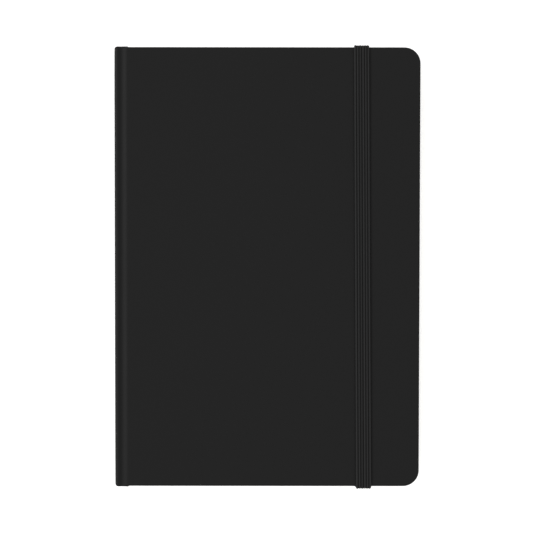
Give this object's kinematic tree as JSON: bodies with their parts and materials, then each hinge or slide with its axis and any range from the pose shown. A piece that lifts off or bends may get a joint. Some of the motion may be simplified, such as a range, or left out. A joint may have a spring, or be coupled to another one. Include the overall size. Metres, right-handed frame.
{
  "type": "pocket notebook",
  "caption": "Pocket notebook with black leatherette hard covers, sewn pages, an inner back pocket and a ribbed elastic closure strap.",
  "frame": {"origin": "on the table, under the middle of the closed book", "axes": "+X from the spine to the fore-edge, +Y from the tail to the head, +Z from the back cover to the front cover"},
  "size_m": [0.1, 0.1454, 0.0147],
  "materials": {
    "leatherette": "matte, fine smooth grain",
    "greyboard": "raw",
    "endpaper": "smooth ivory, matte",
    "page_paper": "ivory, uncoated",
    "elastic": "ribbed knitted elastic, matte",
    "gusset_cloth": "plain weave, matte",
    "gauze": "open weave",
    "thread": "waxed"
  },
  "bodies": {
    "back_cover": {"back_board": "greyboard", "back_cover_skin": "leatherette", "back_pastedown": "endpaper", "pocket_gusset_head": "gusset_cloth", "pocket_gusset_tail": "gusset_cloth", "strap_end_head": "elastic", "strap_end_tail": "elastic"},
    "text_block": {"signature_9": "page_paper", "signature_10": "page_paper", "signature_11": "page_paper", "signature_12": "page_paper", "back_flyleaf": "endpaper", "sewing_thread": "thread", "spine_gauze": "gauze", "spine_card": "greyboard", "spine_skin": "leatherette", "back_hinge_strip": "leatherette", "front_hinge_strip": "leatherette"},
    "pages_4": {"signature_6": "page_paper", "signature_7": "page_paper", "signature_8": "page_paper"},
    "pages_3": {"signature_3": "page_paper", "signature_4": "page_paper", "signature_5": "page_paper"},
    "pages_2": {"signature_2": "page_paper"},
    "pages_1": {"signature_1": "page_paper"},
    "front_flyleaf": {"front_flyleaf": "endpaper"},
    "front_cover": {"front_board": "greyboard", "front_cover_skin": "leatherette", "front_pastedown": "endpaper"},
    "pocket": {"pocket_panel": "endpaper"},
    "strap_sides": {"strap_side_head": "elastic", "strap_side_tail": "elastic"},
    "strap_front": {"strap_front": "elastic"}
  },
  "joints": [
    {"name": "front_cover_hinge", "type": "hinge", "parent": "text_block", "child": "front_cover", "pos_m": [-0.0481, 0, 0.01185], "axis": [0, -1, 0], "range_deg": [0, 179], "deforming": ["front_hinge_strip"]},
    {"name": "front_flyleaf_hinge", "type": "hinge", "parent": "text_block", "child": "front_flyleaf", "pos_m": [-0.0481, 0, 0.01185], "axis": [0, -1, 0], "range_deg": [0, 180]},
    {"name": "pages_1_hinge", "type": "hinge", "parent": "text_block", "child": "pages_1", "pos_m": [-0.0481, 0, 0.01185], "axis": [0, -1, 0], "range_deg": [0, 180]},
    {"name": "pages_2_hinge", "type": "hinge", "parent": "text_block", "child": "pages_2", "pos_m": [-0.0481, 0, 0.01185], "axis": [0, -1, 0], "range_deg": [0, 180]},
    {"name": "pages_4_hinge", "type": "hinge", "parent": "text_block", "child": "pages_4", "pos_m": [-0.0479, 0, 0.00577], "axis": [0, -1, 0], "range_deg": [0, 180]},
    {"name": "pages_3_hinge", "type": "hinge", "parent": "pages_4", "child": "pages_3", "pos_m": [-0.0479, 0, 0.00799], "axis": [0, -1, 0], "range_deg": [0, 180]},
    {"name": "back_cover_hinge", "type": "hinge", "parent": "back_cover", "child": "text_block", "pos_m": [-0.0481, 0, 0.00215], "axis": [0, 1, 0], "range_deg": [-90, 0], "deforming": ["back_hinge_strip"]},
    {"name": "pocket_hinge", "type": "hinge", "parent": "back_cover", "child": "pocket", "pos_m": [0.0465, 0, 0.0024], "axis": [0, 1, 0], "range_deg": [0, 10], "deforming": ["pocket_gusset_head", "pocket_gusset_tail"]},
    {"name": "strap_swing", "type": "hinge", "parent": "back_cover", "child": "strap_sides", "pos_m": [0.0311, 0, 0.0025], "axis": [0, 1, 0], "range_deg": [0, 88], "stiffness_Nm_per_rad": 0.004, "springref_deg": -8.59, "deforming": ["strap_front"]},
    {"name": "strap_stretch", "type": "slide", "parent": "strap_sides", "child": "strap_front", "axis": [0, 0, 1], "range_m": [0, 0.0076], "deforming": ["strap_side_head", "strap_side_tail"]}
  ],
  "couplings": [
    {"joint": "front_flyleaf_hinge", "follows": "front_cover_hinge", "ratio": 0.97765},
    {"joint": "pages_1_hinge", "follows": "front_cover_hinge", "ratio": 0.95531},
    {"joint": "pages_2_hinge", "follows": "front_cover_hinge", "ratio": 0.92737},
    {"joint": "pages_4_hinge", "follows": "front_cover_hinge", "ratio": 0.006145},
    {"joint": "pages_3_hinge", "follows": "front_cover_hinge", "ratio": 0.006145},
    {"joint": "pocket_hinge", "follows": "back_cover_hinge", "ratio": -0.11},
    {"joint": "strap_stretch", "follows": "strap_swing", "m_per_rad": 0.0048832}
  ]
}
